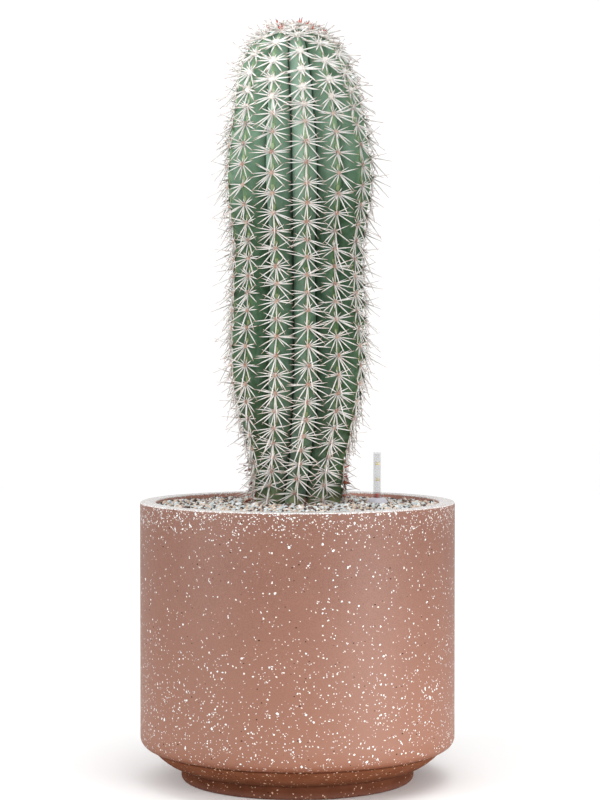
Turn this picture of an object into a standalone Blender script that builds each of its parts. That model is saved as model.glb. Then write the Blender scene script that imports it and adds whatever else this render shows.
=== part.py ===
"""A potted cardon cactus: one ribbed, spiny column in a round terrazzo planter full of mineral
gravel, with a water gauge beside it whose float rises with the water.

Metres, +Z up. The origin is on the floor, at the centre of the planter's base, and the viewer
stands at -Y.
"""

import math
import random

import bmesh
import bpy
from mathutils import Matrix, Vector

MM = 0.001
GAP = 0.3 * MM  # left between neighbouring pieces
SEED = 26

# Planter
POT_RADIUS = 175 * MM
POT_HEIGHT = 309 * MM
POT_WALL = 17.5 * MM
POT_FLOOR = 20 * MM
RIM_CHAMFER = 1.7 * MM
LOWER_EDGE_RADIUS = 12 * MM  # where the wall rounds under
LOWER_EDGE_HEIGHT = 37 * MM
UNDERSIDE_BULGE = 2.5 * MM  # of the sloping underside, which is slightly convex
FOOT_TOP_RADIUS = 134 * MM
FOOT_TOP_HEIGHT = 15.5 * MM
FOOT_RADIUS = 129.5 * MM
FOOT_EDGE_RADIUS = 5 * MM
POT_STEPS = 64

# Gravel
GRAVEL_BELOW_RIM = 6 * MM  # at the wall
GRAVEL_MOUND = 3.5 * MM  # how much higher it lies at the stem
GRAVEL_RINGS = 12
GRAVEL_STEPS = 72
GRAVEL_INNER_RADIUS = 30 * MM  # the innermost ring, inside the stem's hole
GRAVEL_RELIEF = 2 * MM
GRAVEL_JITTER = 0.3  # of a grain's width, sideways

# Cactus column
STEM_AXIS = (0.8 * MM, 15 * MM)
RIBS = 13
RIB_PITCH = 2 * math.pi / RIBS
FRONT_RIB_ANGLE = math.radians(7)  # from the viewer's direction, towards the right
VALLEY_DEPTH = 0.28  # of the crest's radius
CREST_HALF_WIDTH = 0.15  # of the rib's pitch
BASE_TWIST = math.radians(28)  # how far the ribs are pressed together low on the front
BASE_TWIST_CENTRE = math.radians(34)
BASE_TWIST_HEIGHT = 135 * MM  # above the rim, where the ribs run straight again
AREOLE_SPACING = 0.29  # of the column's radius there
AREOLE_RISE = 1.3 * MM
SWAY = 1.9 * MM  # the bulge high on the column lies a little to the right
SWAY_HEIGHT = 365 * MM
SWAY_SPREAD = 45 * MM
FOOT_DEPTH = 75 * MM  # below the rim
FOOT_OUTLINE = ((0.72, 1), (0.93, 0.82))  # shares of the foot's radius and depth
STEM_HOLE_CLEARANCE = 0.75 * MM

# The column's outline over the crests: radius and height above the rim, in mm, from the gravel to
# the apex.
STEM_OUTLINE = (
    (47.8, -8),
    (48.5, 6),
    (51, 43),
    (58, 71),
    (65, 99),
    (71.5, 130),
    (75, 165),
    (73.6, 210),
    (71.6, 262),
    (73.4, 300),
    (78.6, 335),
    (80, 366),
    (76.6, 401),
    (70.5, 434),
    (66.2, 462),
    (58, 491),
    (46, 510),
    (24, 524.5),
)
APEX_HEIGHT = 528 * MM

# Spines
NEEDLE_RADIUS = 0.75 * MM
NEEDLE_ROOT = 3.2 * MM  # sunk in the rib
NEEDLE_OFFSET = 1.8 * MM  # from the areole's middle, along the rib
CENTRAL_LENGTH = (16 * MM, 24 * MM)
RADIAL_LENGTH = (14 * MM, 21 * MM)
CENTRAL_DROOP = math.radians(30)
CENTRAL_LEAN = 0.35  # to either side, for each unit outward
RADIAL_LIFT = math.radians(24)
GOLDEN_ANGLE = math.pi * (3 - math.sqrt(5))
LOWEST_SPINE = 10 * MM  # above the rim
CROWN_RADIUS = 34 * MM  # nearer the apex the spines are short
CROWN_SHRINK = 0.55

# Water gauge
GAUGE_AXIS = (89.5 * MM, 25 * MM)
CASING_RADIUS = 8.5 * MM
CASING_WALL = 1.5 * MM
CASING_TOP = 300.5 * MM
SLOT_WIDTH = 3 * MM
SLOT_HEIGHT = 30 * MM
SLOT_BOTTOM = 24 * MM
COLLAR_RADIUS = 13 * MM
COLLAR_BOTTOM = CASING_TOP + GAP
COLLAR_EDGE = 1.4 * MM
COLLAR_TOP = 311 * MM
COLLAR_STEPS = 4
DISPLAY_RADIUS = 4.65 * MM
DISPLAY_BORE = 3.45 * MM
DISPLAY_TOP = 362 * MM
DISPLAY_CAP = 1.6 * MM
SPIGOT_LENGTH = 8 * MM
TIP_RADIUS = 2.3 * MM
TIP_BOTTOM = 310.5 * MM
TIP_TOP = 315.5 * MM
ROD_RADIUS = 1.6 * MM
FLOAT_RADIUS = 6.2 * MM
FLOAT_HEIGHT = 42 * MM
GAUGE_STEPS = 24
FLOAT_STEPS = 16


def clear_scene():
    for thing in list(bpy.data.objects):
        bpy.data.objects.remove(thing, do_unlink=True)


def new_collection(name):
    collection = bpy.data.collections.new(name)
    bpy.context.scene.collection.children.link(collection)
    return collection


def linear(value):
    return value / 12.92 if value <= 0.04045 else ((value + 0.055) / 1.055) ** 2.4


def plain_material(name, red, green, blue, roughness, alpha=1.0):
    """A surface of one colour, given as its screen values from 0 to 255."""
    material = bpy.data.materials.new(name)
    material.use_nodes = True
    surface = material.node_tree.nodes["Principled BSDF"]
    colour = [linear(value / 255) for value in (red, green, blue)]
    surface.inputs["Base Color"].default_value = (*colour, 1)
    surface.inputs["Roughness"].default_value = roughness
    surface.inputs["Metallic"].default_value = 0
    surface.inputs["Alpha"].default_value = alpha
    material.diffuse_color = (*colour, alpha)
    return material


def add_object(name, mesh, material, collection):
    thing = bpy.data.objects.new(name, mesh)
    collection.objects.link(thing)
    if material:
        mesh.materials.append(material)
    return thing


def mesh_from(shape, name):
    mesh = bpy.data.meshes.new(name)
    shape.to_mesh(mesh)
    shape.free()
    return mesh


def arc(centre, radius, first, last, steps):
    """Points from angle first to angle last, in degrees, both ends included."""
    points = []
    for step in range(steps + 1):
        angle = math.radians(first + (last - first) * step / steps)
        points.append((centre[0] + radius * math.cos(angle), centre[1] + radius * math.sin(angle)))
    return points


def turned(name, profile, steps, axis, material, collection, hollow=False):
    """A body turned about a vertical axis from a profile of (radius, height) points, which runs
    down the outside. A hollow one's profile is a loop that stays clear of the axis."""
    shape = bmesh.new()
    corners = [shape.verts.new((radius, 0, height)) for radius, height in profile]
    for upper, lower in zip(corners, corners[1:]):
        shape.edges.new((upper, lower))
    if hollow:
        shape.edges.new((corners[-1], corners[0]))
    thing = add_object(name, mesh_from(shape, name), material, collection)
    thing.location = (*axis, 0)
    screw = thing.modifiers.new("Turn", "SCREW")
    screw.steps = steps
    screw.render_steps = steps
    screw.use_merge_vertices = True
    screw.merge_threshold = 0.01 * MM
    return thing


def apply_modifiers(thing):
    graph = bpy.context.evaluated_depsgraph_get()
    mesh = bpy.data.meshes.new_from_object(thing.evaluated_get(graph))
    thing.modifiers.clear()
    thing.data = mesh


def cut(thing, cutter):
    cutter.hide_render = True
    cutter.display_type = "WIRE"
    boolean = thing.modifiers.new(cutter.name, "BOOLEAN")
    boolean.operation = "DIFFERENCE"
    boolean.solver = "EXACT"
    boolean.object = cutter


def smooth_round(thing, degrees=40):
    thing.data.shade_smooth()
    thing.data.set_sharp_from_angle(angle=math.radians(degrees))


def underside():
    """The two ends of the sloping underside, as points of radius and height, and the direction
    square to it, outward and down."""
    top = Vector((POT_RADIUS - LOWER_EDGE_RADIUS, LOWER_EDGE_HEIGHT))
    bottom = Vector((FOOT_TOP_RADIUS, FOOT_TOP_HEIGHT))
    square = Vector((top.y - bottom.y, bottom.x - top.x)).normalized()
    return top, bottom, square


def inside_profile(gap):
    """The lower inside of the planter, from the middle of its floor to its wall, moved in by gap.
    A slope joins floor and wall, so that the underside is as thick as the wall."""
    top, bottom, square = underside()
    inner_top = top - square * (POT_WALL + gap)
    rise = (top.y - bottom.y) / (top.x - bottom.x)
    wall = POT_RADIUS - POT_WALL - gap
    floor = POT_FLOOR + gap
    slope_start = inner_top.x - (inner_top.y - floor) / rise
    slope_end = inner_top.y + (wall - inner_top.x) * rise
    return [(0, floor), (slope_start, floor), (wall, slope_end)]


def planter(collection):
    inner = POT_RADIUS - POT_WALL
    lower_centre = (POT_RADIUS - LOWER_EDGE_RADIUS, LOWER_EDGE_HEIGHT + LOWER_EDGE_RADIUS)
    top, bottom, square = underside()
    middle = (top + bottom) / 2 + square * UNDERSIDE_BULGE
    foot_centre = (FOOT_RADIUS - FOOT_EDGE_RADIUS, FOOT_EDGE_RADIUS)
    profile = inside_profile(0)
    profile += [
        (inner, POT_HEIGHT - RIM_CHAMFER),
        (inner + RIM_CHAMFER, POT_HEIGHT),
        (POT_RADIUS - RIM_CHAMFER, POT_HEIGHT),
        (POT_RADIUS, POT_HEIGHT - RIM_CHAMFER),
    ]
    profile += arc(lower_centre, LOWER_EDGE_RADIUS, 0, -90, 4)
    profile += [tuple(middle), tuple(bottom), (FOOT_RADIUS, FOOT_TOP_HEIGHT - GAP)]
    profile += arc(foot_centre, FOOT_EDGE_RADIUS, 0, -90, 2)
    profile += [(0, 0)]
    terrazzo = plain_material("brown terrazzo", 162, 121, 106, 0.6)
    pot = turned("planter", profile, POT_STEPS, (0, 0), terrazzo, collection)
    apply_modifiers(pot)
    smooth_round(pot)
    return pot


def curve_through(points, steps):
    """A smooth curve through the points, with steps pieces between each two of them."""
    curve = []
    for index in range(len(points) - 1):
        before = points[max(index - 1, 0)]
        start = points[index]
        end = points[index + 1]
        after = points[min(index + 2, len(points) - 1)]
        for step in range(steps):
            part = step / steps
            leaving = (end - before) / 2
            arriving = (after - start) / 2
            curve.append(
                start * (2 * part**3 - 3 * part**2 + 1)
                + leaving * (part**3 - 2 * part**2 + part)
                + end * (3 * part**2 - 2 * part**3)
                + arriving * (part**3 - part**2)
            )
    curve.append(points[-1])
    return curve


def column_rows():
    """(radius, height) of the crests at each row, from the gravel up. Areoles grow on every second
    row, so that a row's step is half an areole's spacing."""
    points = [Vector((radius * MM, POT_HEIGHT + height * MM)) for radius, height in STEM_OUTLINE]
    curve = curve_through(points, 24)
    rows = [curve[0]]
    grown = 0
    for lower, upper in zip(curve, curve[1:]):
        radius = (lower.x + upper.x) / 2
        grown += (upper - lower).length / (radius * AREOLE_SPACING / 2)
        if grown >= 1:
            rows.append(upper)
            grown -= 1
    return rows


def twisted(angle, height):
    """The angle of a rib or valley at this height, where the low ones are pressed together."""
    above = (height - POT_HEIGHT) / BASE_TWIST_HEIGHT
    share = 0.5 + 0.5 * math.cos(math.pi * min(max(above, 0), 1))
    return angle + BASE_TWIST * share * math.sin(angle - BASE_TWIST_CENTRE)


def on_column(angle, radius, height):
    """A point at this angle from the viewer's direction, positive to the viewer's right."""
    turn = twisted(angle, height)
    sway = SWAY * math.exp(-(((height - POT_HEIGHT - SWAY_HEIGHT) / SWAY_SPREAD) ** 2))
    x = STEM_AXIS[0] + sway + radius * math.sin(turn)
    y = STEM_AXIS[1] - radius * math.cos(turn)
    return Vector((x, y, height))


def crest_angle(rib):
    return FRONT_RIB_ANGLE + rib * RIB_PITCH


def section_angle(corner):
    """The angle of a corner of the column's section, which has three for each rib: the valley
    before it and the two edges of its crest."""
    rib, place = divmod(corner, 3)
    offset = (-0.5, -CREST_HALF_WIDTH, CREST_HALF_WIDTH)[place]
    return crest_angle(rib) + offset * RIB_PITCH


def is_areole(rib, row):
    return (rib + row) % 2 == 0


def column_point(corner, row, rows):
    """Where this corner of the section lies in this row."""
    radius, height = rows[row]
    rib, place = divmod(corner, 3)
    if place == 0:
        radius *= 1 - VALLEY_DEPTH
    elif height > POT_HEIGHT + LOWEST_SPINE:
        radius += AREOLE_RISE / 2 if is_areole(rib, row) else -AREOLE_RISE / 2
    return on_column(section_angle(corner), radius, height)


def column_body(rows):
    """The ribbed column, shaped from a ball: its lowest rows are the buried foot."""
    base_radius = rows[0].x
    foot = [
        Vector((base_radius * share, POT_HEIGHT - FOOT_DEPTH * depth))
        for share, depth in FOOT_OUTLINE
    ]
    all_rows = foot + rows
    corners = 3 * RIBS
    shape = bmesh.new()
    bmesh.ops.create_uvsphere(shape, u_segments=corners, v_segments=len(all_rows) + 1, radius=1)
    for vertex in shape.verts:
        level = round((math.pi - math.acos(vertex.co.z)) / math.pi * (len(all_rows) + 1))
        corner = round(math.atan2(vertex.co.y, vertex.co.x) / (2 * math.pi) * corners) % corners
        if level == 0:
            vertex.co = (*STEM_AXIS, POT_HEIGHT - FOOT_DEPTH - GAP)
        elif level > len(all_rows):
            vertex.co = (*STEM_AXIS, POT_HEIGHT + APEX_HEIGHT)
        elif level <= len(foot):
            radius, height = all_rows[level - 1]
            if corner % 3 == 0:
                radius *= 1 - VALLEY_DEPTH
            # The foot's ribs stand straight under those at the gravel's top.
            top = on_column(section_angle(corner), radius, rows[0].y)
            vertex.co = (top.x, top.y, height)
        else:
            vertex.co = column_point(corner, level - len(foot) - 1, rows)
    bmesh.ops.recalc_face_normals(shape, faces=shape.faces)
    return mesh_from(shape, "cardon_stem")


def areole_frame(rib, row, rows):
    """The place of an areole on its crest, with the directions outward, up the rib and sideways."""
    radius, height = rows[row]
    below = rows[max(row - 1, 0)]
    above = rows[min(row + 1, len(rows) - 1)]
    angle = crest_angle(rib)
    place = on_column(angle, radius, height)
    upward = on_column(angle, above.x, above.y) - on_column(angle, below.x, below.y)
    upward.normalize()
    turn = twisted(angle, height)
    sideways = Vector((math.cos(turn), math.sin(turn), 0))
    outward = sideways.cross(upward).normalized()
    return place, outward, upward, sideways


def unit_needle():
    """A three-sided needle with its root at the origin and its tip at +Z."""
    shape = bmesh.new()
    bmesh.ops.create_cone(shape, cap_ends=True, segments=3, radius1=1, radius2=0, depth=1)
    bmesh.ops.translate(shape, verts=shape.verts, vec=(0, 0, 0.5))
    bmesh.ops.remove_doubles(shape, verts=shape.verts, dist=0.01)
    return mesh_from(shape, "needle")


def add_needle(mesh, place, direction, length, roll, collection):
    needle = bpy.data.objects.new("needle", mesh)
    collection.objects.link(needle)
    turn = direction.to_track_quat("Z", "Y").to_matrix().to_4x4() @ Matrix.Rotation(roll, 4, "Z")
    size = Matrix.Diagonal((NEEDLE_RADIUS, NEEDLE_RADIUS, length + NEEDLE_ROOT, 1))
    needle.matrix_world = Matrix.Translation(place - direction * NEEDLE_ROOT) @ turn @ size


def add_needles(rows, collection):
    """Two spines on each areole: one stands out and droops, one lies nearly along the skin. Their
    directions turn by the golden angle from one areole to the next, so they are even all round."""
    draw = random.Random(SEED)
    mesh = unit_needle()
    count = 0
    for rib in range(RIBS):
        for row in range(len(rows)):
            radius, height = rows[row]
            if not is_areole(rib, row) or height < POT_HEIGHT + LOWEST_SPINE:
                continue
            place, outward, upward, sideways = areole_frame(rib, row, rows)
            shrink = CROWN_SHRINK if radius < CROWN_RADIUS else 1
            clock = GOLDEN_ANGLE * count
            apart = upward * math.copysign(NEEDLE_OFFSET * shrink, math.cos(clock))
            lean = draw.uniform(-CENTRAL_LEAN, CENTRAL_LEAN)
            central = outward * math.cos(CENTRAL_DROOP) - upward * math.sin(CENTRAL_DROOP)
            central = (central + sideways * lean).normalized()
            length = shrink * draw.uniform(*CENTRAL_LENGTH)
            add_needle(mesh, place - apart, central, length, draw.uniform(0, 2), collection)
            flat = upward * math.cos(clock) + sideways * math.sin(clock)
            radial = outward * math.sin(RADIAL_LIFT) + flat * math.cos(RADIAL_LIFT)
            length = shrink * draw.uniform(*RADIAL_LENGTH)
            add_needle(mesh, place + apart, radial, length, draw.uniform(0, 2), collection)
            count += 1


def cardon_stem(rows, collection):
    skin = plain_material("green cactus skin", 78, 122, 96, 0.5)
    stem = add_object("cardon_stem", column_body(rows), skin, collection)
    spines = new_collection("spines")
    add_needles(rows, spines)
    joined = stem.modifiers.new("Spines", "BOOLEAN")
    joined.operation = "UNION"
    joined.operand_type = "COLLECTION"
    joined.collection = spines
    joined.solver = "EXACT"
    bpy.context.view_layer.update()
    apply_modifiers(stem)
    for needle in list(spines.objects):
        bpy.data.objects.remove(needle, do_unlink=True)
    bpy.data.collections.remove(spines)
    return stem


def stem_hole(rows, cutters):
    """A straight plug with the section of the column's foot, a little larger all round."""
    base = rows[0]
    shape = bmesh.new()
    bmesh.ops.create_circle(shape, cap_ends=True, segments=3 * RIBS, radius=1)
    for vertex in shape.verts:
        corner = round(math.atan2(vertex.co.y, vertex.co.x) / (2 * math.pi) * 3 * RIBS)
        corner %= 3 * RIBS
        radius = base.x * (1 - VALLEY_DEPTH) if corner % 3 == 0 else base.x
        place = on_column(section_angle(corner), radius + STEM_HOLE_CLEARANCE, base.y)
        vertex.co = (place.x, place.y, POT_HEIGHT - FOOT_DEPTH - 2 * GAP)
    raised = bmesh.ops.extrude_face_region(shape, geom=shape.faces[:])
    upper = [part for part in raised["geom"] if isinstance(part, bmesh.types.BMVert)]
    bmesh.ops.translate(shape, verts=upper, vec=(0, 0, FOOT_DEPTH + POT_WALL))
    bmesh.ops.recalc_face_normals(shape, faces=shape.faces)
    return add_object("stem hole", mesh_from(shape, "stem hole"), None, cutters)


def gauge_hole(cutters):
    """A plug through the gravel, wide at the top for the collar and narrower for the casing."""
    above = POT_HEIGHT + POT_WALL
    casing = CASING_RADIUS + GAP
    collar = COLLAR_RADIUS + GAP
    seat = CASING_TOP - GAP
    profile = [(0, above), (collar, above), (collar, seat), (casing, seat), (casing, 0), (0, 0)]
    return turned("gauge hole", profile, GAUGE_STEPS, GAUGE_AXIS, None, cutters)


def gravel_height(radius):
    """The gravel's level, which rises from the wall towards the stem."""
    rise = 0.5 + 0.5 * math.cos(math.pi * radius / (POT_RADIUS - POT_WALL))
    return POT_HEIGHT - GRAVEL_BELOW_RIM + GRAVEL_MOUND * rise


def substrate(rows, collection, cutters):
    outer = POT_RADIUS - POT_WALL - GAP
    step = (outer - GRAVEL_INNER_RADIUS) / GRAVEL_RINGS
    rings = [0] + [GRAVEL_INNER_RADIUS + step * ring for ring in range(GRAVEL_RINGS + 1)]
    profile = [(radius, gravel_height(radius)) for radius in rings]
    profile += inside_profile(GAP)[::-1]
    mix = plain_material("pale mineral gravel", 193, 184, 170, 0.9)
    gravel = turned("substrate", profile, GRAVEL_STEPS, (0, 0), mix, collection)
    apply_modifiers(gravel)
    draw = random.Random(SEED)
    for vertex in gravel.data.vertices:
        radius = math.hypot(vertex.co.x, vertex.co.y)
        on_top = vertex.co.z > POT_HEIGHT / 2
        if on_top and GRAVEL_INNER_RADIUS + step / 2 < radius:
            vertex.co.z += draw.uniform(-GRAVEL_RELIEF, GRAVEL_RELIEF)
            if radius < outer - step / 2:
                vertex.co.x += draw.uniform(-step, step) * GRAVEL_JITTER
                vertex.co.y += draw.uniform(-step, step) * GRAVEL_JITTER
    cut(gravel, stem_hole(rows, cutters))
    cut(gravel, gauge_hole(cutters))
    return gravel


def slot_cutter(name, turn, cutters):
    shape = bmesh.new()
    bmesh.ops.create_cube(shape, size=1)
    slot = add_object(name, mesh_from(shape, name), None, cutters)
    slot.scale = (4 * CASING_RADIUS, SLOT_WIDTH, SLOT_HEIGHT)
    slot.rotation_euler = (0, 0, turn)
    slot.location = (*GAUGE_AXIS, SLOT_BOTTOM + SLOT_HEIGHT / 2)
    return slot


def gauge_casing(collection, cutters):
    bore = CASING_RADIUS - CASING_WALL
    bottom = POT_FLOOR + GAP
    profile = [
        (bore, bottom),
        (bore, CASING_TOP),
        (CASING_RADIUS, CASING_TOP),
        (CASING_RADIUS, bottom),
    ]
    plastic = plain_material("dark grey plastic", 60, 60, 62, 0.5)
    casing = turned("gauge_casing", profile, GAUGE_STEPS, GAUGE_AXIS, plastic, collection, True)
    apply_modifiers(casing)
    smooth_round(casing)
    for side in range(2):
        cut(casing, slot_cutter(f"slot {side}", math.radians(45 + 90 * side), cutters))
    return casing


def gauge_display(collection):
    """A tube closed at the top, with a domed collar that rests on the casing and a spigot in it."""
    spigot = CASING_RADIUS - CASING_WALL - GAP
    spigot_end = COLLAR_BOTTOM - SPIGOT_LENGTH
    edge_top = COLLAR_BOTTOM + COLLAR_EDGE
    profile = [(0, DISPLAY_TOP), (DISPLAY_RADIUS - GAP, DISPLAY_TOP)]
    profile += [(DISPLAY_RADIUS, DISPLAY_TOP - GAP)]
    for step in range(COLLAR_STEPS + 1):
        angle = math.pi / 2 * step / COLLAR_STEPS
        radius = DISPLAY_RADIUS + (COLLAR_RADIUS - DISPLAY_RADIUS) * math.sin(angle)
        profile.append((radius, edge_top + (COLLAR_TOP - edge_top) * math.cos(angle)))
    profile += [(COLLAR_RADIUS, COLLAR_BOTTOM), (spigot, COLLAR_BOTTOM), (spigot, spigot_end)]
    profile += [(DISPLAY_BORE, spigot_end), (DISPLAY_BORE, DISPLAY_TOP - DISPLAY_CAP)]
    profile += [(0, DISPLAY_TOP - DISPLAY_CAP)]
    clear = plain_material("milky clear plastic", 214, 212, 216, 0.25, 0.55)
    display = turned("gauge_display", profile, GAUGE_STEPS, GAUGE_AXIS, clear, collection)
    apply_modifiers(display)
    smooth_round(display)
    return display


def gauge_float(collection):
    bottom = POT_FLOOR + GAP
    top = bottom + FLOAT_HEIGHT
    rod_top = TIP_BOTTOM - GAP
    taper = FLOAT_RADIUS - ROD_RADIUS
    profile = [(0, rod_top), (ROD_RADIUS, rod_top), (ROD_RADIUS, top + taper / 2)]
    profile += [(FLOAT_RADIUS, top), (FLOAT_RADIUS, bottom + GAP)]
    profile += [(FLOAT_RADIUS - GAP, bottom), (0, bottom)]
    foam = plain_material("white float", 232, 230, 224, 0.6)
    thing = turned("gauge_float", profile, FLOAT_STEPS, GAUGE_AXIS, foam, collection)
    apply_modifiers(thing)
    smooth_round(thing)
    return thing


def gauge_tip(collection):
    profile = [(0, TIP_TOP), (TIP_RADIUS - GAP, TIP_TOP), (TIP_RADIUS, TIP_TOP - GAP)]
    profile += [(TIP_RADIUS, TIP_BOTTOM), (0, TIP_BOTTOM)]
    red = plain_material("red plastic", 190, 50, 26, 0.35)
    tip = turned("gauge_tip", profile, FLOAT_STEPS, GAUGE_AXIS, red, collection)
    apply_modifiers(tip)
    smooth_round(tip)
    return tip


def main():
    clear_scene()
    parts = new_collection("potted cardon cactus")
    cutters = new_collection("cutters")
    rows = column_rows()
    planter(parts)
    substrate(rows, parts, cutters)
    cardon_stem(rows, parts)
    gauge_casing(parts, cutters)
    gauge_display(parts)
    gauge_float(parts)
    gauge_tip(parts)


main()
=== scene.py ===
"""The looks of a potted cardon cactus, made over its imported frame.

Metres, +Z up. The origin is on the floor, at the centre of the planter's base, and the viewer
stands at -Y.
"""

import functools
import math
import random

import bmesh
import bpy
import numpy as np
from mathutils import Matrix, Vector
from mathutils.bvhtree import BVHTree


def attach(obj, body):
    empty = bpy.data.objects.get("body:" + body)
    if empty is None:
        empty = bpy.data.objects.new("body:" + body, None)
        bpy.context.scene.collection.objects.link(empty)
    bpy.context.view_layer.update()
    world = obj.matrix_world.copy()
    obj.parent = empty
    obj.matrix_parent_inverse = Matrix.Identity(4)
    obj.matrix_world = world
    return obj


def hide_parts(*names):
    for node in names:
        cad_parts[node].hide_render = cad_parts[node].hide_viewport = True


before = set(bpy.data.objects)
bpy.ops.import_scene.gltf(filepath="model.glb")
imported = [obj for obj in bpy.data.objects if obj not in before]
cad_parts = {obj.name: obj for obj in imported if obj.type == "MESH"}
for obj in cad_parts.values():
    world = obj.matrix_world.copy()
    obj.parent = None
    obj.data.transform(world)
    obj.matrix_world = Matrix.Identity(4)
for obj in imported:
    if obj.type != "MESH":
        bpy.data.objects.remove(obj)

MM = 0.001
FULL_TURN = 2 * math.pi
LOOSE_TURN = 6.28  # what a loose thing is turned by at most, nearly a full turn
SEED = 26
PLANT = "potted_plant"
FLOAT = "float"

# Planter
POT_RADIUS = 175 * MM
POT_HEIGHT = 309 * MM
POT_WALL = 17.5 * MM
POT_INSIDE = POT_RADIUS - POT_WALL
POT_FLOOR = 20 * MM
RIM_ROUND = 1.7 * MM
LOWER_EDGE_RADIUS = 12 * MM
LOWER_EDGE_HEIGHT = 37 * MM
UNDERSIDE_BULGE = 2.5 * MM
FOOT_TOP_RADIUS = 134 * MM
FOOT_TOP_HEIGHT = 15.5 * MM
FOOT_RADIUS = 129.5 * MM
FOOT_EDGE_RADIUS = 5 * MM
POT_STEPS = 192

# Gravel
GRAVEL_BELOW_RIM = 6 * MM
GRAVEL_MOUND = 3.5 * MM
STONE_SPACING = 3.0 * MM
STONE_SIZE = (2.6 * MM, 5.8 * MM)
STONE_SHARES = {"pumice": 0.37, "zeolite": 0.37, "lava": 0.26}
STONE_FORMS = 6

# Cactus column
STEM_AXIS = (0.8 * MM, 15 * MM)
RIBS = 13
FIRST_RIB = -2  # the second rib to the left of the front one
RIB_PITCH = FULL_TURN / RIBS
VALLEY_DEPTH = 0.28
CREST_BLUNTNESS = 0.035
FOOT_DEPTH = 75 * MM
# How the column leans and turns as it rises: the height above the rim, how far right its middle
# is, both in mm, and the angles of the five front crests in degrees. The others share the rest.
COLUMN_TURNS = (
    (-80, 0.5, -84, -45, -7, 32, 92),
    (-8, 0.5, -82, -44, -6.5, 32.5, 90),
    (30, 0.8, -74, -36, -1, 36, 85),
    (60, 1, -66.5, -30, 3.5, 38.5, 80.5),
    (95, 0.2, -58.5, -23, 8, 40, 75.5),
    (130, 0.1, -52, -19.5, 9, 38, 71),
    (180, 0, -48, -17.5, 9, 35, 65),
    (240, -0.2, -47.5, -18, 8.5, 34, 61.5),
    (300, 0.6, -48.5, -20, 7.5, 33.5, 61),
    (370, 1.6, -50, -21.5, 6, 32.5, 60.5),
    (430, 0.4, -51, -22, 5.5, 32, 60),
    (480, -2.6, -52, -23.5, 6, 34, 60.5),
    (528, -5, -53, -24.5, 7, 36, 61),
)
# The distance from one areole of a rib to the next, along the rib, at heights above the rim.
AREOLE_STEPS = (
    (-8, 16.6), (50, 15.8), (72, 16.2), (84, 19.6), (120, 19.6), (155, 21.6), (200, 19),
    (300, 19.3), (336, 21.4), (360, 22.8), (405, 22.2), (425, 19.4), (450, 18.8), (465, 21),
    (490, 22.6), (508, 25), (516, 20), (523, 12), (528, 8),
)
AREOLE_SPACING = np.array(AREOLE_STEPS).T * MM
# The column's radius and its height above the rim, both in mm.
STEM_OUTLINE = (
    (47.8, -8), (48.5, 6), (51, 43), (58, 71), (65, 99), (71.5, 130), (75, 165), (73.6, 210),
    (71.6, 262), (73.4, 300), (78.6, 335), (80, 366), (76.6, 401), (70.5, 434), (65.2, 462),
    (55.6, 491), (43, 510), (22.5, 524.5), (11, 527.4), (1.5, 528),
)
APEX_HEIGHT = 528 * MM
ROWS_PER_STEP = 5  # fine rows of the skin in half an areole's spacing
CORNERS_PER_RIB = 20
FOOT_REACH = FOOT_DEPTH - 9 * MM  # from the skin's fine rows down to the lowest row of the foot
# The rows of the skin that close it at the foot, as shares of the radius and of the way down, and
# at the crown, as radii in mm and shares of the way up.
FOOT_ROWS = ((0.72, 1), (0.86, 0.9), (0.93, 0.7), (0.97, 0.45), (0.99, 0.25))
CROWN_ROWS = ((7, 0.3), (5, 0.55), (3, 0.8), (1.5, 0.95))

# Areoles and spines
LOWEST_AREOLE = 11 * MM  # on the front rib, above the rim
NEWEST_AREOLE = 9 * MM  # from the column's axis
YOUNG_RADIUS = 38 * MM
# The fan of spines that lie nearly along the skin: the angle from straight up the rib, the length
# in mm and the thickness of each.
SPINE_FAN = (
    (32, 8, 0.8), (-36, 9, 0.8), (64, 15, 0.9), (-65, 16, 0.9), (82, 21, 1), (-84, 21, 1),
    (98, 22, 1.05), (-99, 22, 1.05), (117, 24, 1.05), (-118, 24, 1.05), (140, 24, 1.05),
    (-141, 24, 1.05), (184, 20, 1),
)
SPINE_RADIUS = 0.68 * MM
INNER_TUFTS = 5  # of the wool round the apex
OUTER_TUFTS = 11
HAIRS_PER_AREOLE = 22  # where the wool is new
HAIR_RADIUS = 0.16 * MM
FLAKES = 46
CLINGING_FLAKES = 26  # of these, on the column's sides

# Water gauge
GAUGE_AXIS = (89.5 * MM, 25 * MM)
CASING_RADIUS = 8.5 * MM
CASING_WALL = 1.5 * MM
CASING_TOP = 300.5 * MM
GAP = 0.3 * MM
COLLAR_RADIUS = 13 * MM
COLLAR_BOTTOM = CASING_TOP + GAP
COLLAR_EDGE = 1.4 * MM
COLLAR_TOP = 311 * MM
DISPLAY_RADIUS = 4.65 * MM
DISPLAY_BORE = 3.45 * MM
DISPLAY_TOP = 362 * MM
DISPLAY_CAP = 1.6 * MM
SPIGOT_LENGTH = 8 * MM
TIP_RADIUS = 2.3 * MM
TIP_BOTTOM = 310.5 * MM
TIP_TOP = 315.5 * MM
MARK_HEIGHTS = (330.9 * MM, 348.7 * MM)
MARK_THICKNESS = 0.08 * MM
GAUGE_STEPS = 48

# How far apart the terrazzo's chips of each size can lie, in mm, and how many of these places
# hold one, for the share.
CHIP_SIZES = ((2.9, 0.5), (2.2, 1.3), (1.6, 2.4))
CHIP_SHAKE = 0.35 * MM  # how far the chips' edges are moved to break them up
PIT_SPACING = 5  # mm from one place for a pit to the next
PIT_SHARE = 0.065  # of these places that hold one
SEALER_SHINE = 0.35  # how strongly the sealed wall shines

# Studio, in metres
FLOOR_SIZE = 14
FLOOR_BACK = 4.6
FLOOR_CURVE = 1.4
BACKDROP_TOP = 6
ROOM_LIGHT = 0.7
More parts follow.
